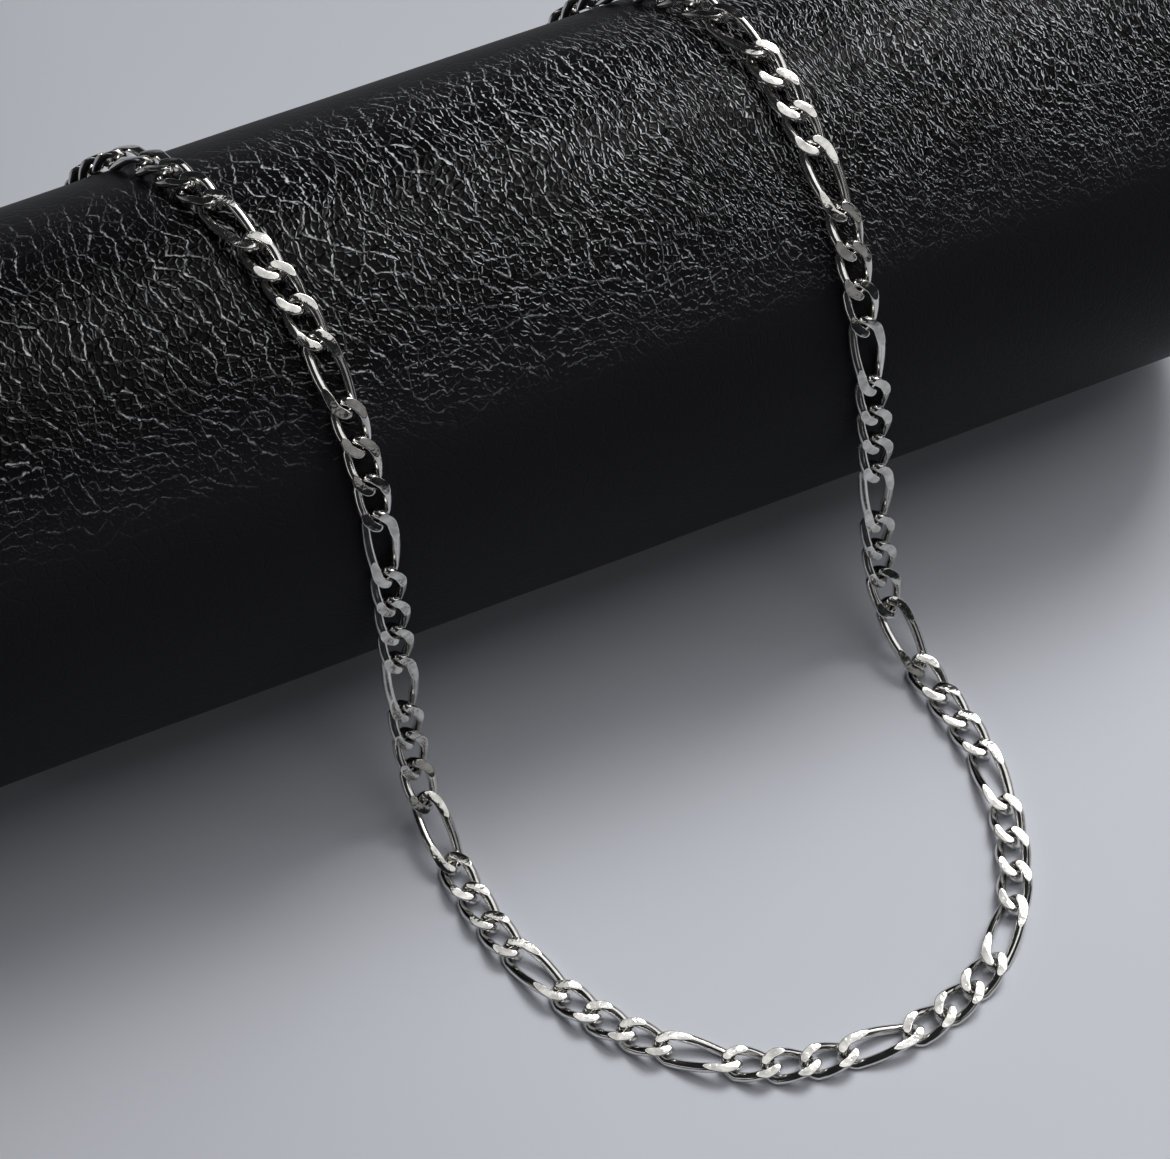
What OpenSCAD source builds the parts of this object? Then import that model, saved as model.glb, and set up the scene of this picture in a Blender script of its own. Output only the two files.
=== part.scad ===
// Figaro chain necklace on a leather display roll.
// Millimetres, +Z up. The roll lies along X on the table, the origin is on the table under its
// middle, and the front of the necklace is towards -Y. The chain goes over the roll: in front it
// lies on the table in a wide bend, and behind it hangs free with its clasp.

/* [Chain] */
// Width across a link
chain_w = 5; // [4.95:0.05:5.3]
// Thickness between the two pressed faces of the chain
chain_t = 2.1; // [2:0.05:2.3]
// Diameter of the wire along the sides of a link
wire_d = 1.2; // [1.1:0.05:1.25]
// Width of the wire round the pressed ends of a link
end_w = 1.45; // [1.3:0.05:1.5]
// Length of chain that a short link makes
short_pitch = 5.2; // [5.18:0.01:5.22]
// Length of chain that a long link makes
long_pitch = 9.2; // [9.15:0.01:9.25]
// Play between two hooked links
play = 0.2; // [0.18:0.01:0.25]
// Twist of a link's tip out of the chain's plane, in degrees
twist = 48; // [47:1:50]
// Groups of three short links and one long link in each half of the chain
groups = 11; // [11]

/* [Clasp] */
// Thickness of the wire of the two jump rings
ring_wire = 0.8; // [0.7:0.05:0.9]
// Width of the opening of the jump rings
ring_hole = 3.6; // [3.5:0.05:3.8]
// Length of the lobster clasp, over its eye and its nose
clasp_l = 10; // [9.8:0.1:10.4]
// Width of the lobster clasp across its hook
clasp_w = 5.2; // [5:0.1:5.6]
// Thickness of the lobster clasp at its waist
clasp_t = 2.4; // [2:0.1:2.8]
// Thickness of the clasp's eye and hook
hook_t = 1.2; // [1:0.05:1.3]
// Width of the hole in the clasp's eye
eye_hole = 2; // [1.9:0.05:2.1]

/* [Display roll] */
// Diameter of the roll
roll_d = 73; // [72:0.5:74]
// Length of the roll
roll_l = 200; // [190:1:220]
// Height of leather pressed flat under the roll
roll_sink = 0.6; // [0.5:0.05:0.8]
// Radius of the soft rim at each end of the roll
roll_rim = 7; // [4:1:10]

/* [Hidden] */

// The chain laid out flat, as a closed loop. Columns: x, run.
// x is along the roll. run is the way over the roll from its crest, + to the front.
plan = [
    [-19, -89.3], [-31.5, -86], [-42, -77.3], [-48.4, -65], [-50.3, -53], [-49, -41],
    [-46.2, -30.5], [-44.3, -21], [-41.6, -11], [-38.3, 2], [-36, 13], [-34.8, 24],
    [-34.5, 38], [-35, 56], [-35.6, 75], [-35.9, 92], [-35.4, 106], [-33.5, 117.3],
    [-28, 130], [-19.8, 139.9], [-8.6, 147.5], [2, 149.7], [11, 150.1], [20.5, 147.4],
    [28.6, 141.6], [34.5, 131.5], [37.8, 119], [37.5, 109], [36.1, 98.5], [35, 88.5],
    [34.7, 76], [35.1, 60], [35.2, 42], [36, 24], [35.3, 11], [34.9, 1],
    [32.9, -9], [29.5, -20], [25.5, -32], [22, -45], [18, -60], [10.4, -73.6], [0, -83], [-9, -87.5]
];
// Straight steps between two rows of the plan
plan_steps = 16;
// Place of the clasp along the loop, from the plan's first row
clasp_at = 3.5;
// Clear space between the chain and the leather, and between the chain and the table
lay_gap = 0.25;
table_gap = 0.2;
// Slope at which the chain leaves the front of the roll, in degrees from level
leave_angle = 77;
// Radius of the bend in which the chain meets the table
foot_r = 16;

// Facets of a link: its wire has six sides, and each round end six steps
wire_sides = 6;
end_steps = 6;
round_fn = 96;
ring_fn = 48;

roll_r = roll_d / 2;
axis_z = roll_r - roll_sink;
drape_r = roll_r + chain_t / 2 + lay_gap;
table_z = chain_t / 2 + table_gap;

// Runs at which the drape changes from one stretch to the next
leave_run = drape_r * leave_angle * PI / 180;
hang_run = -drape_r * PI / 2;
leave_y = -drape_r * sin(leave_angle);
leave_z = axis_z + drape_r * cos(leave_angle);
foot_z = table_z + foot_r * (1 - cos(leave_angle));
foot_run = leave_run + (leave_z - foot_z) / sin(leave_angle);
foot_y = leave_y - (leave_z - foot_z) / tan(leave_angle);
table_run = foot_run + foot_r * leave_angle * PI / 180;
foot_mid = [foot_y - foot_r * sin(leave_angle), table_z + foot_r];

// Place on the drape at a run, as [y, z, slope]: the slope is 0 on the level and 90 down the front
function drape(run) =
    run < hang_run ? [drape_r, axis_z + run - hang_run, -90]
    : run < leave_run ? let (a = run / drape_r * 180 / PI)
        [-drape_r * sin(a), axis_z + drape_r * cos(a), a]
    : run < foot_run ? let (d = run - leave_run)
        [leave_y - d * cos(leave_angle), leave_z - d * sin(leave_angle), leave_angle]
    : run < table_run ? let (a = leave_angle - (run - foot_run) / foot_r * 180 / PI)
        [foot_mid[0] + foot_r * sin(a), foot_mid[1] - foot_r * cos(a), a]
    : [foot_mid[0] - (run - table_run), table_z, 0];

// A smooth curve through four rows of the plan, from the second to the third
function smooth(a, b, c, d, t) =
    b + (c - a) * t / 2 + (a * 2 - b * 5 + c * 4 - d) * t * t / 2
    + (b * 3 - a - c * 3 + d) * t * t * t / 2;

rows = len(plan);
function row(i) = plan[(i + rows) % rows];
path = [for (i = [0:rows - 1], k = [0:plan_steps - 1])
    smooth(row(i - 1), row(i), row(i + 1), row(i + 2), k / plan_steps)];
path_n = len(path);
function step_l(i) = norm(path[(i + 1) % path_n] - path[i % path_n]);
path_s = [for (i = 0, s = 0; i <= path_n; s = s + step_l(i), i = i + 1) s];
loop_l = path_s[path_n];
x_at = [for (i = [0:path_n]) [path_s[i], path[i % path_n][0]]];
run_at = [for (i = [0:path_n]) [path_s[i], path[i % path_n][1]]];

// Place and outward direction of the chain at a length s along the loop
function wrapped(s) = s - floor(s / loop_l) * loop_l;
function spot(s) = let (w = wrapped(s), d = drape(lookup(w, run_at))) [lookup(w, x_at), d[0], d[1]];
function facing(s) = let (a = drape(lookup(wrapped(s), run_at))[2]) [0, -sin(a), cos(a)];

function unit(v) = v / norm(v);

// Frame of a piece that spans the loop from s0 to s1, as [middle, forward, left, up]
function seat(s0, s1) =
    let (
        p = spot(s0), q = spot(s1), fwd = unit(q - p),
        n = facing((s0 + s1) / 2), up = unit(n - fwd * (n * fwd))
    )
    [(p + q) / 2, fwd, cross(up, fwd), up];
function matrix(f) = [for (i = [0:2]) [f[1][i], f[2][i], f[3][i], f[0][i]]];

// The links, in order from the clasp ring round to the end ring. Every fourth one is long.
links = groups * 8;
half_links = links / 2;
first_long = 3;
function is_long(i) = i % 4 == first_long;
function pitch(i) = is_long(i) ? long_pitch : short_pitch;

// The rings and the clasp join up the loop as three more links. The clasp's middle is at clasp_at.
ring_play = 0.6;
ring_tilt = 11;
clasp_play = 0.3;
eye_wall = 0.8;
nose_wall = 1.1;
ring_pitch = ring_hole - ring_play;
clasp_pitch = clasp_l - eye_wall - nose_wall - clasp_play;
ring_r = (ring_hole + ring_wire) / 2;

// Lengths along the loop at which the links meet, drawn out to close the loop exactly
chain_l = half_links / 2 * (3 * short_pitch + long_pitch);
stretch = loop_l / (chain_l + clasp_pitch + 2 * ring_pitch);
meet = [for (i = 0, s = clasp_pitch / 2 + ring_pitch; i <= links; s = s + pitch(i), i = i + 1)
    clasp_at + s * stretch];

// A link's wire runs round an oval. The oval is twisted about its long axis, which lifts one
// corner of each tip, and what then stands out of the chain's thickness is pressed flat.
// Columns of the stations: x, y, direction across the wire, width of the wire.
function stations(half, bar_rings) =
    let (b = (chain_w - wire_d) / 2, c = half - b)
    [for (side = [1, -1]) each concat(
        [for (k = [0:end_steps]) let (a = 180 * k / end_steps - 90 * side, n = [cos(a), sin(a)])
            [side * c + b * n[0], b * n[1], n, wire_d + (end_w - wire_d) * abs(n[0])]],
        [for (k = [1:1:bar_rings]) [side * c * (1 - 2 * k / (bar_rings + 1)), side * b, [0, side], wire_d]]
    )];
function oval_points(inner, bar_rings) =
    let (half = (inner + end_w) / 2)
    [for (s = stations(half, bar_rings), j = [0:wire_sides - 1])
        let (
            turn = -twist * s[0] / half,
            out = s[3] / 2 * cos(360 * j / wire_sides),
            z = s[1] * sin(turn) + wire_d / 2 * sin(360 * j / wire_sides)
        )
        [s[0] + s[2][0] * out, s[1] * cos(turn) + s[2][1] * out, max(-chain_t / 2, min(chain_t / 2, z))]];
function oval_faces(points) =
    let (rings = len(points) / wire_sides)
    [for (i = [0:rings - 1], j = [0:wire_sides - 1])
        let (
            i2 = (i + 1) % rings, j2 = (j + 1) % wire_sides,
            a = i * wire_sides + j, b = i2 * wire_sides + j,
            c = i2 * wire_sides + j2, d = i * wire_sides + j2
        )
        each [[c, b, a], [d, c, a]]];
short_points = oval_points(short_pitch + play, 0);
long_points = oval_points(long_pitch + play, 1);

module link(i) {
    f = seat(meet[i], meet[i + 1]);
    points = is_long(i) ? long_points : short_points;
    polyhedron(points = [for (p = points) f[0] + f[1] * p[0] + f[2] * p[1] + f[3] * p[2]],
        faces = oval_faces(points));
}

module chain_left() {
    color("silver")
    for (i = [0:half_links - 1]) link(i);
}

module chain_right() {
    color("silver")
    for (i = [half_links:links - 1]) link(i);
}

// A round jump ring that stands across the chain, tilted to suit the twisted tip it holds
module jump_ring(from, tilt) {
    color("silver")
    multmatrix(matrix(seat(from, from + ring_pitch * stretch)))
    rotate([90 + tilt, 0, 0])
    rotate_extrude($fn = ring_fn)
    translate([ring_r, 0])
    circle(d = ring_wire, $fn = 16);
}

module clasp_ring() {
    jump_ring(meet[0] - ring_pitch * stretch, ring_tilt);
}

module end_ring() {
    jump_ring(meet[links], -ring_tilt);
}

// Outline of the clasp, with its eye at x = 0 and its nose towards -x
nose_x = clasp_l - eye_wall - eye_hole / 2;
neck_w = 3.4;
hook_hole_w = 2.8;
hook_hole_l = 3.8;
lever_r = 0.7;
module clasp_outline() {
    difference() {
        union() {
            circle(r = eye_hole / 2 + eye_wall, $fn = ring_fn);
            translate([clasp_w / 2 - nose_x, 0]) circle(d = clasp_w, $fn = ring_fn);
            translate([clasp_w / 2 - nose_x, -neck_w / 2]) square([nose_x - clasp_w / 2, neck_w]);
            translate([clasp_w / 2 - nose_x + lever_r, clasp_w / 2]) circle(r = lever_r, $fn = 24);
        }
        circle(d = eye_hole, $fn = ring_fn);
        for (end = [hook_hole_w / 2, hook_hole_l - hook_hole_w / 2])
            translate([nose_wall - nose_x + end, 0]) circle(d = hook_hole_w, $fn = ring_fn);
        translate([nose_wall - nose_x + hook_hole_w / 2, -hook_hole_w / 2])
        square([hook_hole_l - hook_hole_w, hook_hole_w]);
    }
}

module lobster_clasp() {
    waist_from = nose_wall - nose_x + hook_hole_l;
    waist_to = -eye_hole / 2 - eye_wall;
    half_pitch = clasp_pitch / 2 * stretch;
    color("silver")
    multmatrix(matrix(seat(clasp_at - half_pitch, clasp_at + half_pitch)))
    translate([(clasp_pitch + clasp_play - eye_hole) / 2, 0, 0]) {
        linear_extrude(height = hook_t, center = true)
        clasp_outline();
        translate([waist_from, -neck_w / 2, -clasp_t / 2])
        cube([waist_to - waist_from, neck_w, clasp_t]);
    }
}

// Half of the roll's outline, from the middle of one end to the middle of the other
module roll_outline() {
    translate([0, -roll_l / 2]) square([roll_r - roll_rim, roll_l]);
    translate([0, roll_rim - roll_l / 2]) square([roll_r, roll_l - 2 * roll_rim]);
    for (end = [-1, 1])
        intersection() {
            translate([roll_r - roll_rim, end * (roll_l / 2 - roll_rim)])
            circle(r = roll_rim, $fn = round_fn);
            translate([0, -roll_l / 2]) square([roll_r, roll_l]);
        }
}

module display_roll() {
    color([0.07, 0.07, 0.075])
    difference() {
        translate([0, 0, axis_z])
        rotate([0, 90, 0])
        rotate_extrude($fn = round_fn)
        roll_outline();
        translate([-roll_l, -roll_d, -roll_d]) cube([2 * roll_l, 2 * roll_d, roll_d]);
    }
}

display_roll();
chain_left();
chain_right();
clasp_ring();
lobster_clasp();
end_ring();
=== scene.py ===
import math

import bmesh
import bpy
from mathutils import Matrix, Vector


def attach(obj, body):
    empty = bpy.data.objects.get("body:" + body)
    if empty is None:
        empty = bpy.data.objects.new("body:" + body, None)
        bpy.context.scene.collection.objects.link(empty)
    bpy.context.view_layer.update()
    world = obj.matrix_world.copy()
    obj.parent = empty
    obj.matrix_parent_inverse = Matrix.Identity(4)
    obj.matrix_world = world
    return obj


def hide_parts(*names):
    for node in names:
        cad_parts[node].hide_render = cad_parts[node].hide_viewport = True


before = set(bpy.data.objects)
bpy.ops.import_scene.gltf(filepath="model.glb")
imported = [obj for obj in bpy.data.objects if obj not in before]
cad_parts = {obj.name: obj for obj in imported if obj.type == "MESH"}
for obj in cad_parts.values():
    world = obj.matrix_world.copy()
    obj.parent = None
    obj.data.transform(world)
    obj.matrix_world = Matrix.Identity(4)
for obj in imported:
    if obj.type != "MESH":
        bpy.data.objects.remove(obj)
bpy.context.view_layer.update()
mm = 0.001
hair = 0.01  # millimetres, or radians: what is closer than this is the same place
print("frame loaded")


# General help

def wear(piece, *materials):
    piece.data.materials.clear()
    for material in materials:
        piece.data.materials.append(material)


def linearFromHex(code):
    parts = [int(code[i:i + 2], 16) / 255 for i in (1, 3, 5)]
    return [c / 12.92 if c <= 0.04045 else ((c + 0.055) / 1.055) ** 2.4 for c in parts] + [1.0]


def startMaterial(name):
    material = bpy.data.materials.new(name)
    material.use_nodes = True
    material.node_tree.nodes.clear()
    return material, material.node_tree


# Adds a node; a link names a node, for its first output, or one of its outputs
def addNode(tree, kind, settings=None, links=None):
    node = tree.nodes.new(kind)
    for name, value in (settings or {}).items():
        if isinstance(name, int) or name in node.inputs:
            node.inputs[name].default_value = value
        else:
            setattr(node, name, value)
    for name, source in (links or {}).items():
        output = source.outputs[0] if isinstance(source, bpy.types.Node) else source
        tree.links.new(output, node.inputs[name])
    return node


def deselectAll():
    bpy.ops.object.select_all(action="DESELECT")


def selectOnly(piece):
    deselectAll()
    piece.select_set(True)
    bpy.context.view_layer.objects.active = piece


# Works the place, turn and size of the piece at hand into its mesh
def settle():
    bpy.ops.object.transform_apply(location=True, rotation=True, scale=True)
    return bpy.context.object


def startEdit(piece):
    selectOnly(piece)
    bpy.ops.object.mode_set(mode="EDIT")
    bpy.ops.mesh.select_mode(type="VERT")
    bpy.ops.mesh.select_all(action="DESELECT")


def endEdit():
    bpy.ops.object.mode_set(mode="OBJECT")


# Selects the points whose place passes a test, in edit mode
def pickPoints(piece, test):
    mesh = bmesh.from_edit_mesh(piece.data)
    for point in mesh.verts:
        point.select_set(test(point.co))
    mesh.select_flush_mode()
    bmesh.update_edit_mesh(piece.data)


# Selects the faces whose middle and normal pass a test, in edit mode
def pickFaces(piece, test):
    bpy.ops.mesh.select_mode(type="FACE")
    mesh = bmesh.from_edit_mesh(piece.data)
    for face in mesh.faces:
        face.select_set(test(face.calc_center_median(), face.normal))
    mesh.select_flush_mode()
    bmesh.update_edit_mesh(piece.data)


# Cuts the whole mesh at a plane, in edit mode, and with close=True takes off what lies past the plane
def cutAcross(place, normal, close=False):
    bpy.ops.mesh.select_mode(type="VERT")
    bpy.ops.mesh.select_all(action="SELECT")
    bpy.ops.mesh.bisect(
        plane_co=place, plane_no=normal, use_fill=close, clear_outer=close, threshold=0.001 * mm,
    )


def applyModifier(piece, kind, settings):
    selectOnly(piece)
    modifier = piece.modifiers.new(kind.lower(), kind)
    for name, value in settings.items():
        setattr(modifier, name, value)
    bpy.ops.object.modifier_apply(modifier=modifier.name)


def cleanShell(piece):
    startEdit(piece)
    bpy.ops.mesh.select_all(action="SELECT")
    bpy.ops.mesh.remove_doubles(threshold=0.002 * mm)
    bpy.ops.mesh.normals_make_consistent(inside=False)
    endEdit()


def copyOf(piece, place):
    other = piece.copy()
    other.data = piece.data.copy()
    bpy.context.scene.collection.objects.link(other)
    other.data.transform(place)
    return other


def joinPieces(pieces, name):
    deselectAll()
    for piece in pieces:
        piece.select_set(True)
    whole = pieces[0]
    bpy.context.view_layer.objects.active = whole
    bpy.ops.object.join()
    whole.name = name
    whole.data.name = name
    return whole


# Camera

cameraSettings = {
    "lens": 126.15,  # full-frame millimetres
    "distance": 582.3,  # millimetres from the camera to what it aims at
    "aimY": -21.72,
    "azimuth": 23.96,  # degrees
    "elevation": 56.05,
    "near": 0.01,  # metres, the nearest and the farthest that it sees
    "far": 20,
}


def makeCamera():
    c = cameraSettings
    azimuth, elevation = math.radians(c["azimuth"]), math.radians(c["elevation"])
    level = math.cos(elevation)
    forward = Vector((math.sin(azimuth) * level, math.cos(azimuth) * level, -math.sin(elevation)))
    data = bpy.data.cameras.new("camera")
    data.lens = c["lens"]
    data.sensor_width = 36
    data.sensor_fit = "HORIZONTAL"
    data.clip_start = c["near"]
    data.clip_end = c["far"]
    camera = bpy.data.objects.new("camera", data)
    bpy.context.scene.collection.objects.link(camera)
    camera.location = (Vector((0, c["aimY"], 0)) - forward * c["distance"]) * mm
    camera.rotation_euler = forward.to_track_quat("-Z", "Y").to_euler()
    bpy.context.scene.camera = camera


makeCamera()
print("camera placed")


# Sizes of the roll, in millimetres, which its leather and the chain's route follow too

rollSettings = {
    "width": 73,
    "length": 200,
    "sink": 0.6,  # leather pressed flat at the foot
    "sides": 144,
    "cuts": 70,  # stretches along the roll, for its unevenness
    "rim": 7,
    "rimSteps": 10,
    "panelEdge": 0.6,  # flat ring between the rim and the seam
    "seam": 1.1,  # width of the seam's groove round each end
    "seamDepth": 0.7,
    "panelRise": 0.8,  # part of that depth by which the end panel comes up again
    "panelRings": (7, 3.4, 0.01),  # rings of the panel, the width of each, and how much it swells
    "lump": 34,  # across one lump of the padding
    "unevenness": 0.32,
    "smoothUnder": 40,  # degrees
}

rollRadius = rollSettings["width"] / 2
axisZ = rollRadius - rollSettings["sink"]


# Materials

steelSettings = {
    "haze": 1.4,  # millimetres across a patch of haze
    "roughBand": (0.35, 0.7),  # levels of the haze between which the roughness changes, and the tone
    "toneBand": (0.35, 0.65),
    "swell": 6,  # millimetres across an uneven spot
}

# Stainless steel, drawn to wire and tumbled: bright grey, mirror sharp, with faint haze and hair marks
tumbledSettings = {
    "dark": "#D2D0CC",
    "bright": "#E4E2DE",
    "sleek": 0.08,
    "dull": 0.18,
    "markSize": 0.3,  # millimetres
    "markDepth": 0.005,
    "waver": 0.0,
}

# The same steel where the press flattened it: satin, with a fine scuffed texture that breaks up its
# reflections, and no two faces quite level
pressedSettings = {
    "dark": "#A9A8A4",
    "bright": "#D6D4CF",
    "sleek": 0.07,
    "dull": 0.15,
    "markSize": 1.1,
    "markDepth": 0.07,
    "waver": 0.35,
}


def steelFinish(name, finish):
    s = steelSettings
    material, tree = startMaterial(name)
    place = addNode(tree, "ShaderNodeTexCoord").outputs["Object"]
    haze = addNode(tree, "ShaderNodeTexNoise", {"Scale": 1 / (s["haze"] * mm), "Detail": 3.0}, {
        "Vector": place,
    })
    low, high = s["roughBand"]
    rough = addNode(tree, "ShaderNodeMapRange", {
        "From Min": low, "From Max": high, "To Min": finish["sleek"], "To Max": finish["dull"],
    }, {"Value": haze})
    tone = addNode(tree, "ShaderNodeValToRGB", None, {"Fac": haze})
    codes = (finish["dark"], finish["bright"])
    for stop, level, code in zip(tone.color_ramp.elements, s["toneBand"], codes):
        stop.position = level
        stop.color = linearFromHex(code)
    swell = addNode(tree, "ShaderNodeTexNoise", {"Scale": 1 / (s["swell"] * mm), "Detail": 0.0}, {
        "Vector": place,
    })
    uneven = addNode(tree, "ShaderNodeBump", {"Strength": 1.0, "Distance": finish["waver"] * mm}, {
        "Height": swell,
    })
    marks = addNode(tree, "ShaderNodeTexNoise", {"Scale": 1 / (finish["markSize"] * mm), "Detail": 2.0}, {
        "Vector": place,
    })
    bump = addNode(tree, "ShaderNodeBump", {"Strength": 1.0, "Distance": finish["markDepth"] * mm}, {
        "Height": marks, "Normal": uneven,
    })
    shader = addNode(tree, "ShaderNodeBsdfPrincipled", {"Metallic": 1.0}, {
        "Base Color": tone, "Roughness": rough, "Normal": bump,
    })
    addNode(tree, "ShaderNodeOutputMaterial", None, {"Surface": shader})
    return material


# Millimetres. A length is along the roll, and a run goes round it from its crest, + to the back.
leatherSettings = {
    "panel": 28.4,  # inside this radius the leather is the sewn-in end panel
    "sways": ((12, 3.2), (0.8, 0.36)),  # creases sway: over what length, and how far
    # How fine the pebbles are before a length or a run and past it, where that is, and the blend
    "fineAlong": (0.85, 1.5, 15, 14),
    "fineRound": (0.95, 0.5, -14, 8),
    "grains": ((2.0, 0.18), (0.75, 0.12)),  # pebbles, then fine grain: across one, and the width of its wall with painted highlights
    "glintCore": 0.4,  # part of that wall that the painted highlight fully covers
    "feel": (0.03, 0.1),  # short and long step over which a wall's slope is felt
    "climb": (0.04, 0.092),  # rise over that step where the painted highlight starts, and where it is full
    "litRun": (-36, -6),  # between these runs the creases with painted highlights turn from lengthwise to crosswise
    "patches": {
        # Where the painted highlight lines come and go: size, from, to, and what is left of the line
        "crease": (1.3, 0.34, 0.58, 0.25),
        "dash": (0.8, 0.4, 0.6, 0.1),
        "cluster": (5, 0.34, 0.64, 0.45),
        "sparkle": (0.34, 0.34, 0.6, 0.35),
        "wide": (24, 0.34, 0.6, 0.6),
    },
    "fineGlintFrom": (-80, 20, 0.25),  # the fine grain's painted highlights gain strength between these lengths, towards the right end nearer the key light, from the last number
    "glintFacing": (0, -0.156, 0.988),  # the way that the side with painted highlights faces, up towards the light
    "glintFrom": 61,  # height at which the painted highlights start, on the lit top
    "glintFull": 72.5,
    "glintEnds": (0.95, 3.0),  # strength of the painted highlights at the roll's left end and at its right, nearer the key light
    "rims": (98.5, 94.5),  # the soft rims past these lengths get no painted highlights
    # Ground colours, with painted light: lighter low on the roll, where little light falls, darker on its
    # lit top
    "low": "#252528",
    "top": "#070708",
    # Colour of the painted highlights
    "pale": "#F2F3F6",
    "wall": 0.2,  # from the middle of a crease to the top of its wall
    "depth": 0.09,
    "fineRise": 0.45,  # part of the depth that the fine ridges stand up
    "shallow": 0.3,  # part of the relief that is left low on the roll
    "roughness": (0.5, 0.26),  # low on the roll, and at its top
    "sheen": 0.06,
}


# Black corrected-grain leather, grain rolled in, thin finish: dead black, with pale painted highlights
# along the one wall of its creases that faces the light, on the lit top of the roll
def grainedLeather():
    g = leatherSettings
    material, tree = startMaterial("grainedLeather")
    soft = {"interpolation_type": "SMOOTHSTEP"}
    # The sheet laid flat, in millimetres: along the roll, and round it
    place = addNode(tree, "ShaderNodeTexCoord").outputs["Object"]
    inMm = addNode(tree, "ShaderNodeVectorMath", {"operation": "SCALE", "Scale": 1 / mm}, {0: place})
    at = addNode(tree, "ShaderNodeSeparateXYZ", None, {"Vector": inMm})
    length = at.outputs["X"]
    lift = addNode(tree, "ShaderNodeMath", {"operation": "SUBTRACT", 1: axisZ}, {0: at.outputs["Z"]})
    turn = addNode(tree, "ShaderNodeMath", {"operation": "ARCTAN2"}, {0: at.outputs["Y"], 1: lift})
    run = addNode(tree, "ShaderNodeMath", {"operation": "MULTIPLY", 1: rollRadius}, {0: turn})
    side = addNode(tree, "ShaderNodeCombineXYZ", None, {"X": length, "Y": run})
    face = addNode(tree, "ShaderNodeCombineXYZ", None, {"X": at.outputs["Y"], "Y": lift})
    out = addNode(tree, "ShaderNodeVectorMath", {"operation": "LENGTH"}, {0: face})
    panel = addNode(tree, "ShaderNodeMath", {"operation": "LESS_THAN", 1: g["panel"]}, {
        0: out.outputs["Value"],
    })
    sheet = addNode(tree, "ShaderNodeMix", {"data_type": "VECTOR"}, {
        "Factor": panel, 4: side, 5: face,
    }).outputs[1]
    moved = sheet
    for size, reach in g["sways"]:
        drift = addNode(tree, "ShaderNodeTexNoise", {
            "noise_dimensions": "2D", "Scale": 1 / size, "Detail": 0.0,
        }, {"Vector": sheet})
        centred = addNode(tree, "ShaderNodeVectorMath", {"operation": "SUBTRACT", 1: (0.5, 0.5, 0.5)}, {
            0: drift.outputs["Color"],
        })
        strayed = addNode(tree, "ShaderNodeVectorMath", {"operation": "SCALE", "Scale": reach}, {
            0: centred,
        })
        moved = addNode(tree, "ShaderNodeVectorMath", {"operation": "ADD"}, {0: moved, 1: strayed})
    # The hide was pulled over the back, so its pebbles are long there
    part = addNode(tree, "ShaderNodeSeparateXYZ", None, {"Vector": moved})
    pulled = {}
    for axis, join, key in (("X", "SMOOTH_MAX", "fineAlong"), ("Y", "SMOOTH_MIN", "fineRound")):
        before, after, where, blend = g[key]
        past = addNode(tree, "ShaderNodeMath", {"operation": "SUBTRACT", 1: where}, {
            0: part.outputs[axis],
        })
        early = addNode(tree, "ShaderNodeMath", {"operation": "MULTIPLY", 1: before}, {0: past})
        late = addNode(tree, "ShaderNodeMath", {"operation": "MULTIPLY", 1: after}, {0: past})
        pulled[axis] = addNode(tree, "ShaderNodeMath", {"operation": join, 2: blend}, {0: early, 1: late})
    drawn = addNode(tree, "ShaderNodeCombineXYZ", None, pulled)
    # A second look at the grain, a short step on, tells which way a wall faces, so that only walls facing
    # one way get painted highlights, as if lit from one side
    start, end = g["litRun"]
    short, long = g["feel"]
    steps = {}
    for axis, first, last in (("X", short, long), ("Y", long, short)):
        steps[axis] = addNode(tree, "ShaderNodeMapRange", {
            "From Min": start, "From Max": end, "To Min": first, "To Max": last,
        }, {"Value": run})
    step = addNode(tree, "ShaderNodeCombineXYZ", None, steps)
    ahead = addNode(tree, "ShaderNodeVectorMath", {"operation": "ADD"}, {0: drawn, 1: step})
    # Millimetres to the nearest crease, and the wall that faces the one way, painted pale as a highlight
    creases = []
    litWalls = []
    for size, width in g["grains"]:
        depths = []
        for spot in (drawn, ahead):
            cells = addNode(tree, "ShaderNodeTexVoronoi", {
                "voronoi_dimensions": "2D", "feature": "DISTANCE_TO_EDGE", "Scale": 1 / size,
            }, {"Vector": spot})
            depths.append(addNode(tree, "ShaderNodeMath", {"operation": "MULTIPLY", 1: size}, {0: cells}))
        creases.append(depths[0])
        climb = addNode(tree, "ShaderNodeMath", {"operation": "SUBTRACT"}, {0: depths[1], 1: depths[0]})
        start, end = g["climb"]
        facing = addNode(tree, "ShaderNodeMapRange", soft | {"From Min": start, "From Max": end}, {
            "Value": climb,
        })
        near = addNode(tree, "ShaderNodeMapRange", soft | {
            "From Min": width, "From Max": width * g["glintCore"],
        }, {"Value": depths[0]})
        litWalls.append(addNode(tree, "ShaderNodeMath", {"operation": "MULTIPLY"}, {0: facing, 1: near}))
    patches = {}
    for key, (size, low, high, least) in g["patches"].items():
        cloud = addNode(tree, "ShaderNodeTexNoise", {
            "noise_dimensions": "2D", "Scale": 1 / size, "Detail": 1.0,
        }, {"Vector": drawn})
        patches[key] = addNode(tree, "ShaderNodeMapRange", soft | {
            "From Min": low, "From Max": high, "To Min": least,
        }, {"Value": cloud})
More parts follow.
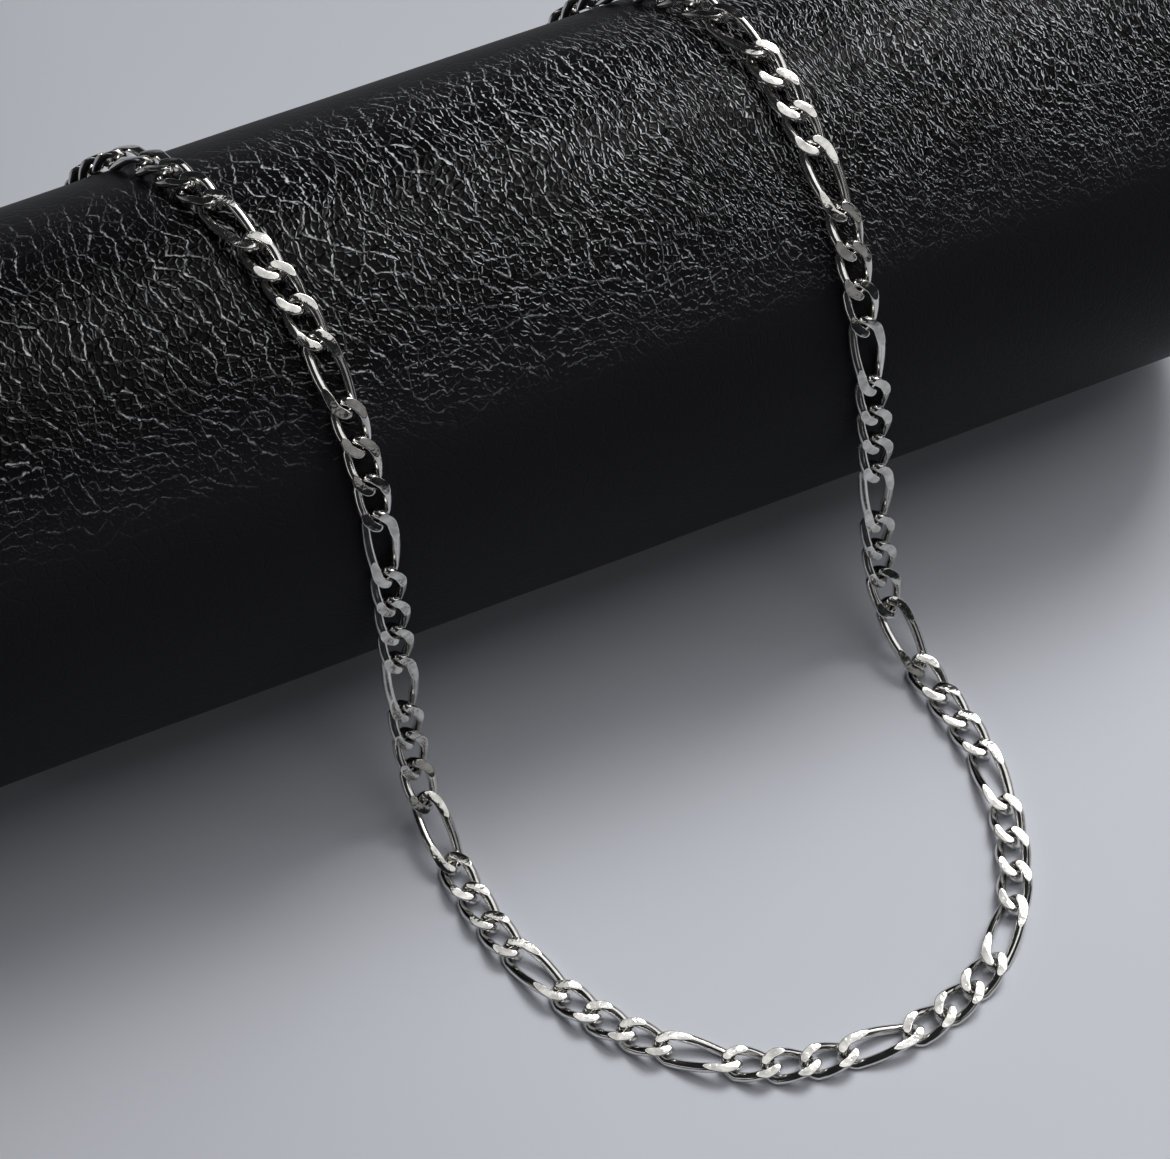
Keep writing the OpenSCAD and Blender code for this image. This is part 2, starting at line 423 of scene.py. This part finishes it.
    # Painted highlights only on the lit top of the roll, stronger towards the right end nearer the key
    # light, and not on its soft rims
    rise = addNode(tree, "ShaderNodeVectorMath", {"operation": "DOT_PRODUCT", 1: g["glintFacing"]}, {
        0: inMm,
    })
    height = addNode(tree, "ShaderNodeMapRange", soft | {
        "From Min": g["glintFrom"], "From Max": g["glintFull"],
    }, {"Value": rise.outputs["Value"]})
    half = rollSettings["length"] / 2
    first, last = g["glintEnds"]
    along = addNode(tree, "ShaderNodeMapRange", soft | {
        "From Min": -half, "From Max": half, "To Min": first, "To Max": last,
    }, {"Value": length})
    ends = addNode(tree, "ShaderNodeMath", {"operation": "ABSOLUTE"}, {0: length})
    start, end = g["rims"]
    inside = addNode(tree, "ShaderNodeMapRange", soft | {"From Min": start, "From Max": end}, {
        "Value": ends,
    })
    start, end, least = g["fineGlintFrom"]
    gritGlintGain = addNode(tree, "ShaderNodeMapRange", soft | {
        "From Min": start, "From Max": end, "To Min": least,
    }, {"Value": length})
    # The painted highlight lines of pebbles and fine grain, gathered and limited to the lit top, the right
    # end and away from the rims
    pebbleGlints, gritGlints = litWalls
    pebbleGlints = addNode(tree, "ShaderNodeMath", {"operation": "MULTIPLY"}, {
        0: pebbleGlints, 1: patches["crease"],
    })
    for factor in (patches["dash"], gritGlintGain, patches["cluster"]):
        gritGlints = addNode(tree, "ShaderNodeMath", {"operation": "MULTIPLY"}, {0: gritGlints, 1: factor})
    paintedGlints = addNode(tree, "ShaderNodeMath", {"operation": "MAXIMUM"}, {0: pebbleGlints, 1: gritGlints})
    for factor in (patches["sparkle"], height, inside, patches["wide"], along):
        paintedGlints = addNode(tree, "ShaderNodeMath", {"operation": "MULTIPLY"}, {0: paintedGlints, 1: factor})
    # Painted light: the ground is lighter low on the roll, where little light falls, and darker on its lit
    # top
    ground = addNode(tree, "ShaderNodeMix", {
        "data_type": "RGBA", 6: linearFromHex(g["low"]), 7: linearFromHex(g["top"]),
    }, {"Factor": height}).outputs[2]
    # The pale painted highlights laid over the ground colour
    tone = addNode(tree, "ShaderNodeMix", {"data_type": "RGBA", 7: linearFromHex(g["pale"])}, {
        "Factor": paintedGlints, 6: ground,
    }).outputs[2]
    # Low on the roll the leather is drawn tight: its grain is shallower there, and its finish duller
    wall = addNode(tree, "ShaderNodeMapRange", soft | {"From Min": 0.0, "From Max": g["wall"]}, {
        "Value": creases[0],
    })
    ridge = addNode(tree, "ShaderNodeMapRange", soft | {
        "From Min": g["wall"], "From Max": 0.0, "To Max": g["fineRise"],
    }, {"Value": creases[1]})
    grain = addNode(tree, "ShaderNodeMath", {"operation": "ADD"}, {0: wall, 1: ridge})
    shallow = addNode(tree, "ShaderNodeMapRange", soft | {"To Min": g["shallow"]}, {"Value": height})
    relief = addNode(tree, "ShaderNodeMath", {"operation": "MULTIPLY"}, {0: grain, 1: shallow})
    bump = addNode(tree, "ShaderNodeBump", {"Strength": 1.0, "Distance": g["depth"] * mm}, {
        "Height": relief,
    })
    low, top = g["roughness"]
    rough = addNode(tree, "ShaderNodeMapRange", soft | {"To Min": low, "To Max": top}, {"Value": height})
    shader = addNode(tree, "ShaderNodeBsdfPrincipled", {"IOR": 1.5, "Specular IOR Level": g["sheen"]}, {
        "Base Color": tone, "Normal": bump, "Roughness": rough,
    })
    addNode(tree, "ShaderNodeOutputMaterial", None, {"Surface": shader})
    return material


boardSettings = {
    "tones": ("#E1E4ED", "#E5E8F0"),
    "patch": 60,  # millimetres across a patch of tone
    # Painted shade: from and to, in metres, and what is left of the tone there, the floor darkened where
    # less light reaches it
    "back": (0.0, 0.3, 0.46),
    "left": (-0.03, -0.23, 0.57),
    "away": (0.3, 0.9, 0.25),  # painted shade: past the stage the floor goes off into the dim
    "roughness": 0.6,
}


# Matt laminated board, pale and faintly blue, with painted shade: its tone falls off to the back, to the
# left and far away
def paleBoard():
    b = boardSettings
    material, tree = startMaterial("paleBoard")
    place = addNode(tree, "ShaderNodeTexCoord").outputs["Object"]
    cloud = addNode(tree, "ShaderNodeTexNoise", {"Scale": 1 / (b["patch"] * mm), "Detail": 2.0}, {
        "Vector": place,
    })
    tone = addNode(tree, "ShaderNodeValToRGB", None, {"Fac": cloud})
    for stop, code in zip(tone.color_ramp.elements, b["tones"]):
        stop.color = linearFromHex(code)
    at = addNode(tree, "ShaderNodeSeparateXYZ", None, {"Vector": place})
    reach = addNode(tree, "ShaderNodeVectorMath", {"operation": "LENGTH"}, {0: place})
    ways = {"back": at.outputs["Y"], "left": at.outputs["X"], "away": reach.outputs["Value"]}
    # Painted shade: the tone is darkened towards the back, the left and far away
    for key, way in ways.items():
        start, end, least = b[key]
        paintedShade = addNode(tree, "ShaderNodeMapRange", {
            "From Min": start, "From Max": end, "To Min": 1.0, "To Max": least,
        }, {"Value": way})
        tone = addNode(tree, "ShaderNodeVectorMath", {"operation": "SCALE"}, {0: tone, "Scale": paintedShade})
    shader = addNode(tree, "ShaderNodeBsdfPrincipled", {"Roughness": b["roughness"]}, {"Base Color": tone})
    addNode(tree, "ShaderNodeOutputMaterial", None, {"Surface": shader})
    return material


steel = steelFinish("tumbledSteel", tumbledSettings)
pressed = steelFinish("pressedSteel", pressedSettings)
leather = grainedLeather()
board = paleBoard()
print("materials ready")


# Route of the chain over the roll, the same as in the part's source. Millimetres until the end.

chainSettings = {
    "width": 5,
    "thickness": 2.1,
    "pressed": 2.0,  # what the press leaves of the thickness
    "wire": 1.36,
    "endWire": 1.48,
    "shortPitch": 5.2,
    "longPitch": 9.2,
    "play": 0.2,
    "twist": 48,  # degrees
    "groups": 11,  # in each half of the chain
    "groupLinks": 4,  # three short ones and a long one
    "roundSteps": 32,
    "wireSteps": 16,
    "sideStep": 0.45,  # between the cuts along a straight side
    "edge": 0.1,  # soft edge round each pressed face
    "edgeSteps": 3,
    "smoothUnder": 50,  # degrees
}

routeSettings = {
    # x along the roll, run over the roll from its crest, + to the front
    "rows": [
        (-19, -89.3), (-31.5, -86), (-42, -77.3), (-48.4, -65), (-50.3, -53), (-49, -41),
        (-46.2, -30.5), (-44.3, -21), (-41.6, -11), (-38.3, 2), (-36, 13), (-34.8, 24),
        (-34.5, 38), (-35, 56), (-35.6, 75), (-35.9, 92), (-35.4, 106), (-33.5, 117.3),
        (-28, 130), (-19.8, 139.9), (-8.6, 147.5), (2, 149.7), (11, 150.1), (20.5, 147.4),
        (28.6, 141.6), (34.5, 131.5), (37.8, 119), (37.5, 109), (36.1, 98.5), (35, 88.5),
        (34.7, 76), (35.1, 60), (35.2, 42), (36, 24), (35.3, 11), (34.9, 1),
        (32.9, -9), (29.5, -20), (25.5, -32), (22, -45), (18, -60), (10.4, -73.6), (0, -83), (-9, -87.5),
    ],
    "steps": 16,  # between two rows
    "claspAt": 3.5,  # the clasp's middle, along the route
    "layGap": 0.25,  # between the chain and the roll
    "tableGap": 0.2,
    "leaveAngle": 77,  # degrees past the crest, where the chain leaves the roll
    "footRadius": 16,  # of its bend down to the table
}

claspSettings = {
    "length": 10,
    "width": 5.2,
    "thickness": 1.2,
    "eyeHole": 2,
    "eyeWall": 0.8,
    "noseWall": 1.1,
    "noseReach": 0.7,  # by which the hook is longer than round
    "play": 0.3,
    "ringPitch": 3,
    # Places are from the middle of the eye, or for the slot and the knob from the middle of the hook
    "bodyAt": -2.8,
    "body": (1.4, 1.75, 1.1),  # half its length, width and thickness
    "knobAt": (0.7, 2.5),
    "knob": 0.6,  # radius
    "pinAt": (-3.2, 0.85),
    "pin": (0.42, 2.2),  # radius and length
    "slotTurn": 128,  # degrees round the hook
    "slotAt": 2.05,
    "slot": (1.6, 0.16, 2),
    "grain": 0.07,  # of the melt that makes the forms one
}

drapeRadius = rollRadius + chainSettings["thickness"] / 2 + routeSettings["layGap"]
tableZ = chainSettings["thickness"] / 2 + routeSettings["tableGap"]
leaveAngle = math.radians(routeSettings["leaveAngle"])
footRadius = routeSettings["footRadius"]
leaveRun = drapeRadius * leaveAngle
hangRun = -drapeRadius * math.pi / 2
leaveY, leaveZ = -drapeRadius * math.sin(leaveAngle), axisZ + drapeRadius * math.cos(leaveAngle)
footZ = tableZ + footRadius * (1 - math.cos(leaveAngle))
footRun = leaveRun + (leaveZ - footZ) / math.sin(leaveAngle)
footY = leaveY - (leaveZ - footZ) / math.tan(leaveAngle)
tableRun = footRun + footRadius * leaveAngle
footMidY, footMidZ = footY - footRadius * math.sin(leaveAngle), tableZ + footRadius


# Place and slope of the chain at a run over the roll
def drapeAt(run):
    if run < hangRun:
        return drapeRadius, axisZ + run - hangRun, -math.pi / 2
    if run < leaveRun:
        a = run / drapeRadius
        return -drapeRadius * math.sin(a), axisZ + drapeRadius * math.cos(a), a
    if run < footRun:
        d = run - leaveRun
        return leaveY - d * math.cos(leaveAngle), leaveZ - d * math.sin(leaveAngle), leaveAngle
    if run < tableRun:
        a = leaveAngle - (run - footRun) / footRadius
        return footMidY + footRadius * math.sin(a), footMidZ - footRadius * math.cos(a), a
    return footMidY - (run - tableRun), tableZ, 0.0


# A smooth curve through the rows, and the length of the route at each of its points
def layRoute():
    rows = [Vector(r) for r in routeSettings["rows"]]
    count, steps = len(rows), routeSettings["steps"]
    path = []
    for i in range(count):
        a, b, c, d = rows[i - 1], rows[i], rows[(i + 1) % count], rows[(i + 2) % count]
        square = a * 2 - b * 5 + c * 4 - d
        cube = b * 3 - a - c * 3 + d
        for k in range(steps):
            t = k / steps
            path.append(b + (c - a) * t / 2 + square * t * t / 2 + cube * t ** 3 / 2)
    path.append(path[0])
    lengths = [0.0]
    for a, b in zip(path, path[1:]):
        lengths.append(lengths[-1] + (b - a).length)
    return path, lengths


path, pathLengths = layRoute()
loopLength = pathLengths[-1]


# Point of the route at a length, as x and run
def flatPoint(s):
    s = s % loopLength
    low, high = 0, len(pathLengths) - 1
    while high - low > 1:
        mid = (low + high) // 2
        if pathLengths[mid] <= s:
            low = mid
        else:
            high = mid
    t = (s - pathLengths[low]) / (pathLengths[high] - pathLengths[low])
    return path[low].lerp(path[high], t)


def spotAt(s):
    p = flatPoint(s)
    y, z = drapeAt(p.y)[:2]
    return Vector((p.x, y, z))


def facingAt(s):
    slope = drapeAt(flatPoint(s).y)[2]
    return Vector((0, -math.sin(slope), math.cos(slope)))


# Matrix, in metres, of a piece that spans the loop from one length to another
def seatBetween(s0, s1):
    p, q = spotAt(s0), spotAt(s1)
    forward = (q - p).normalized()
    outward = facingAt((s0 + s1) / 2)
    up = (outward - forward * forward.dot(outward)).normalized()
    left = up.cross(forward)
    seat = Matrix((forward, left, up)).transposed().to_4x4()
    seat.translation = (p + q) / 2 * mm
    return seat


groupLinks = chainSettings["groupLinks"]
linkCount = 2 * chainSettings["groups"] * groupLinks


def isLong(i):
    return i % groupLinks == groupLinks - 1


def pitchOf(i):
    return chainSettings["longPitch"] if isLong(i) else chainSettings["shortPitch"]


# Where each link meets the next; what room is left over is shared out evenly
def shareRoute():
    c = claspSettings
    claspPitch = c["length"] - c["eyeWall"] - c["noseWall"] - c["play"]
    chainLength = sum(pitchOf(i) for i in range(linkCount))
    stretch = loopLength / (chainLength + claspPitch + 2 * c["ringPitch"])
    meets = [routeSettings["claspAt"] + (claspPitch / 2 + c["ringPitch"]) * stretch]
    for i in range(linkCount):
        meets.append(meets[-1] + pitchOf(i) * stretch)
    return claspPitch, stretch, meets


claspPitch, stretch, meets = shareRoute()
print("route laid, links:", linkCount)


# Chain links: a wire ring drawn out to an oval, twisted, and pressed flat on both faces

# The round ends are drawn apart and the straight sides between them cut into short stretches. The
# wire is fuller round the ends, where the press spreads it.
def makeOval(reach):
    c = chainSettings
    bend = (c["width"] - c["wire"]) / 2
    deselectAll()
    bpy.ops.mesh.primitive_torus_add(
        major_radius=bend * mm, minor_radius=c["wire"] / 2 * mm,
        major_segments=c["roundSteps"], minor_segments=c["wireSteps"],
    )
    oval = bpy.context.object
    startEdit(oval)
    for side in (1, -1):
        pickPoints(oval, lambda p: p.x * side > hair * mm)
        bpy.ops.transform.translate(value=(side * reach * mm, 0, 0))
    cuts = max(2, round(reach / c["sideStep"]))
    for k in range(1, cuts):
        for side in (1, -1):
            cutAcross((side * reach * k / cuts * mm, 0, 0), (1, 0, 0))
    for k in range(c["roundSteps"] // 2 + 1):
        angle = -math.pi / 2 + math.pi * 2 * k / c["roundSteps"]
        swell = (c["endWire"] - c["wire"]) / 2 * math.cos(angle)
        if swell < hair:
            continue
        for side in (1, -1):
            def onRing(p):
                x, y = p.x * side / mm - reach, p.y / mm
                return x > -hair and abs(math.atan2(y, x) - angle) < hair
            pickPoints(oval, onRing)
            bpy.ops.transform.shrink_fatten(value=swell * mm)
    endEdit()
    return oval


def makeLink(name, pitch):
    c = chainSettings
    half = (pitch + c["play"] + c["endWire"]) / 2
    link = makeOval(half - (c["width"] - c["wire"]) / 2)
    link.name = name
    turn = -2 * math.radians(c["twist"]) * (half + c["endWire"] / 2) / half
    applyModifier(link, "SIMPLE_DEFORM", {"deform_method": "TWIST", "deform_axis": "X", "angle": turn})
    pressedZ = c["pressed"] / 2
    nearZ = (pressedZ - hair) * mm
    for side in (1, -1):
        startEdit(link)
        cutAcross((0, 0, side * pressedZ * mm), (0, 0, side), close=True)
        pickFaces(link, lambda p, n: n.z * side > 0.999 and p.z * side > nearZ)
        bpy.ops.mesh.bevel(
            offset=c["edge"] * mm, offset_type="OFFSET", segments=c["edgeSteps"], affect="EDGES",
        )
        endEdit()
    cleanShell(link)
    wear(link, steel, pressed)
    startEdit(link)
    pickFaces(link, lambda p, n: abs(n.z) > 0.999 and abs(p.z) > nearZ)
    link.active_material_index = 1
    bpy.ops.object.material_slot_assign()
    endEdit()
    selectOnly(link)
    bpy.ops.object.shade_smooth_by_angle(angle=math.radians(c["smoothUnder"]))
    return link


# Lays the links of one half of the chain, each a copy with its own mesh
def makeChain(name, first, last):
    links = []
    for i in range(first, last):
        links.append(copyOf(longLink if isLong(i) else shortLink, seatBetween(meets[i], meets[i + 1])))
    return joinPieces(links, name)


shortLink = makeLink("shortLink", chainSettings["shortPitch"])
longLink = makeLink("longLink", chainSettings["longPitch"])
chainLeft = makeChain("chainLeft", 0, linkCount // 2)
chainRight = makeChain("chainRight", linkCount // 2, linkCount)
for spare in (shortLink, longLink):
    bpy.data.objects.remove(spare)
for piece, node in ((chainLeft, "chain_left"), (chainRight, "chain_right")):
    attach(piece, "root")
    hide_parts(node)
print("chain linked, faces:", len(chainLeft.data.polygons) + len(chainRight.data.polygons))


# Display roll: a padded leather cylinder with soft rims, a sewn end panel and a pressed foot

def makeRoll():
    r = rollSettings
    deselectAll()
    bpy.ops.mesh.primitive_cylinder_add(
        vertices=r["sides"], radius=rollRadius * mm, depth=r["length"] * mm,
        location=(0, 0, axisZ * mm), rotation=(0, math.pi / 2, 0), end_fill_type="NGON",
    )
    roll = settle()
    roll.name = "leatherRoll"
    startEdit(roll)
    pickFaces(roll, lambda p, n: abs(n.x) > 0.9)
    bpy.ops.mesh.bevel(
        offset=r["rim"] * mm, offset_type="OFFSET", segments=r["rimSteps"], profile=0.5, affect="EDGES",
    )
    body = r["length"] / 2 - r["rim"]
    for k in range(1, r["cuts"]):
        cutAcross(((2 * k / r["cuts"] - 1) * body * mm, 0, 0), (1, 0, 0))
    # The end panel is let in with a seam: a groove, then a panel that swells a little and stays
    # inside the roll's length
    pickFaces(roll, lambda p, n: abs(n.x) > 0.99 and abs(p.x) > (r["length"] / 2 - hair) * mm)
    bpy.ops.mesh.inset(thickness=r["panelEdge"] * mm, depth=0)
    bpy.ops.mesh.inset(thickness=r["seam"] / 2 * mm, depth=-r["seamDepth"] * mm)
    bpy.ops.mesh.inset(thickness=r["seam"] / 2 * mm, depth=r["seamDepth"] * r["panelRise"] * mm)
    rings, ringWidth, ringRise = r["panelRings"]
    for k in range(rings):
        bpy.ops.mesh.inset(thickness=ringWidth * mm, depth=ringRise * mm)
    endEdit()
    lumps = bpy.data.textures.new("lumps", "CLOUDS")
    lumps.noise_scale = r["lump"] * mm
    lumps.noise_depth = 1
    applyModifier(roll, "DISPLACE", {
        "texture": lumps, "texture_coords": "GLOBAL", "strength": r["unevenness"] * mm, "mid_level": 1.0,
    })
    # The foot is flat where the roll rests on the table
    startEdit(roll)
    cutAcross((0, 0, 0), (0, 0, -1), close=True)
    endEdit()
    cleanShell(roll)
    selectOnly(roll)
    bpy.ops.object.shade_smooth_by_angle(angle=math.radians(r["smoothUnder"]))
    wear(roll, leather)
    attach(roll, "root")
    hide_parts("display_roll")
    return roll


leatherRoll = makeRoll()
print("roll made, faces:", len(leatherRoll.data.polygons))


# Clasp: one cast piece, built up from plain forms that are melted together

# A flattened ring, for the eye and for the hook
def makeRing(x, radius, wire):
    deselectAll()
    bpy.ops.mesh.primitive_torus_add(
        major_radius=radius * mm, minor_radius=wire / 2 * mm, major_segments=40, minor_segments=12,
        location=(x * mm, 0, 0),
    )
    ring = bpy.context.object
    startEdit(ring)
    bpy.ops.mesh.select_all(action="SELECT")
    bpy.ops.transform.resize(value=(1, 1, claspSettings["thickness"] / wire))
    endEdit()
    return settle()


def makeClasp():
    c = claspSettings
    hookX = c["width"] / 2 - (c["length"] - c["eyeWall"] - c["eyeHole"] / 2)
    eye = makeRing(0, (c["eyeHole"] + c["eyeWall"]) / 2, c["eyeWall"])
    hook = makeRing(hookX, (c["width"] - c["noseWall"]) / 2, c["noseWall"])
    startEdit(hook)
    pickPoints(hook, lambda p: p.x > hookX * mm)
    bpy.ops.transform.translate(value=(c["noseReach"] * mm, 0, 0))
    endEdit()
    # The body, an egg between the eye and the hook
    deselectAll()
    bpy.ops.mesh.primitive_uv_sphere_add(
        segments=32, ring_count=20, radius=1, location=(c["bodyAt"] * mm, 0, 0),
        scale=[size * mm for size in c["body"]],
    )
    body = settle()
    # The lever's knob and the pin that it turns on
    knobX, knobY = c["knobAt"]
    deselectAll()
    bpy.ops.mesh.primitive_uv_sphere_add(
        segments=20, ring_count=12, radius=c["knob"] * mm, location=((hookX + knobX) * mm, knobY * mm, 0),
    )
    knob = settle()
    pinX, pinY = c["pinAt"]
    pinRadius, pinLength = c["pin"]
    deselectAll()
    bpy.ops.mesh.primitive_cylinder_add(
        vertices=24, radius=pinRadius * mm, depth=pinLength * mm, location=(pinX * mm, pinY * mm, 0),
    )
    pin = settle()
    clasp = joinPieces([eye, hook, body, knob, pin], "claspCast")
    selectOnly(clasp)
    clasp.data.remesh_voxel_size = c["grain"] * mm
    bpy.ops.object.voxel_remesh()
    # The slot where the lever's tip meets the hook
    turn = math.radians(c["slotTurn"])
    deselectAll()
    bpy.ops.mesh.primitive_cube_add(
        size=1, rotation=(0, 0, turn), scale=[size * mm for size in c["slot"]],
        location=((hookX + c["slotAt"] * math.cos(turn)) * mm, c["slotAt"] * math.sin(turn) * mm, 0),
    )
    slot = bpy.context.object
    applyModifier(clasp, "BOOLEAN", {"operation": "DIFFERENCE", "object": slot})
    bpy.data.objects.remove(slot)
    selectOnly(clasp)
    bpy.ops.object.voxel_remesh()
    # The steps that the melt leaves are smoothed away, and the clasp is hung at the end of the chain
    applyModifier(clasp, "SMOOTH", {"factor": 0.5, "iterations": 5})
    half = claspPitch / 2 * stretch
    seat = seatBetween(routeSettings["claspAt"] - half, routeSettings["claspAt"] + half)
    eyeX = (claspPitch + c["play"] - c["eyeHole"]) / 2
    clasp.data.transform(seat @ Matrix.Translation((eyeX * mm, 0, 0)))
    selectOnly(clasp)
    bpy.ops.object.shade_smooth()
    wear(clasp, steel)
    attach(clasp, "root")
    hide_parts("lobster_clasp")
    return clasp


claspCast = makeClasp()
print("clasp made, faces:", len(claspCast.data.polygons))


# Finishes of the CAD nodes, seen and hidden

for name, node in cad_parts.items():
    wear(node, leather if name == "display_roll" else steel)
print("CAD nodes finished")


# Floor and light

stageSettings = {
    "floor": 6,  # metres across
    "sky": "#AEB2BA",
    "skyStrength": 0.045,
    # place in metres, width, height, watts; each faces the middle of the foot
    "lights": {
        "keySoftbox": ((0.715, 0.516, 1.151), 0.6, 0.5, 8.5),
        "widePanel": ((0.55, 0.202, 1.16), 1.56, 1.35, 7.6),
        "frontCard": ((0.25, -0.9, 0.62), 0.7, 0.6, 0.37),
        "leftStrip": ((-1.0, -0.15, 0.4), 0.9, 0.16, 0.4),
        "rightStrip": ((1.0, -0.15, 0.4), 0.9, 0.16, 0.5),
    },
}


def layFloor():
    deselectAll()
    bpy.ops.mesh.primitive_plane_add(size=stageSettings["floor"], location=(0, 0, 0))
    floor = bpy.context.object
    floor.name = "floor"
    wear(floor, board)


def addLights():
    for name, (place, width, height, watts) in stageSettings["lights"].items():
        data = bpy.data.lights.new(name, "AREA")
        data.shape = "RECTANGLE"
        data.size = width
        data.size_y = height
        data.energy = watts
        lamp = bpy.data.objects.new(name, data)
        bpy.context.scene.collection.objects.link(lamp)
        lamp.location = place
        lamp.rotation_euler = (-Vector(place)).to_track_quat("-Z", "Y").to_euler()


def addSky():
    world = bpy.data.worlds.new("studio")
    bpy.context.scene.world = world
    world.use_nodes = True
    sky = world.node_tree.nodes["Background"].inputs
    sky["Color"].default_value = linearFromHex(stageSettings["sky"])
    sky["Strength"].default_value = stageSettings["skyStrength"]


layFloor()
addLights()
addSky()
bpy.context.scene.view_settings.view_transform = "Standard"
print("stage lit")
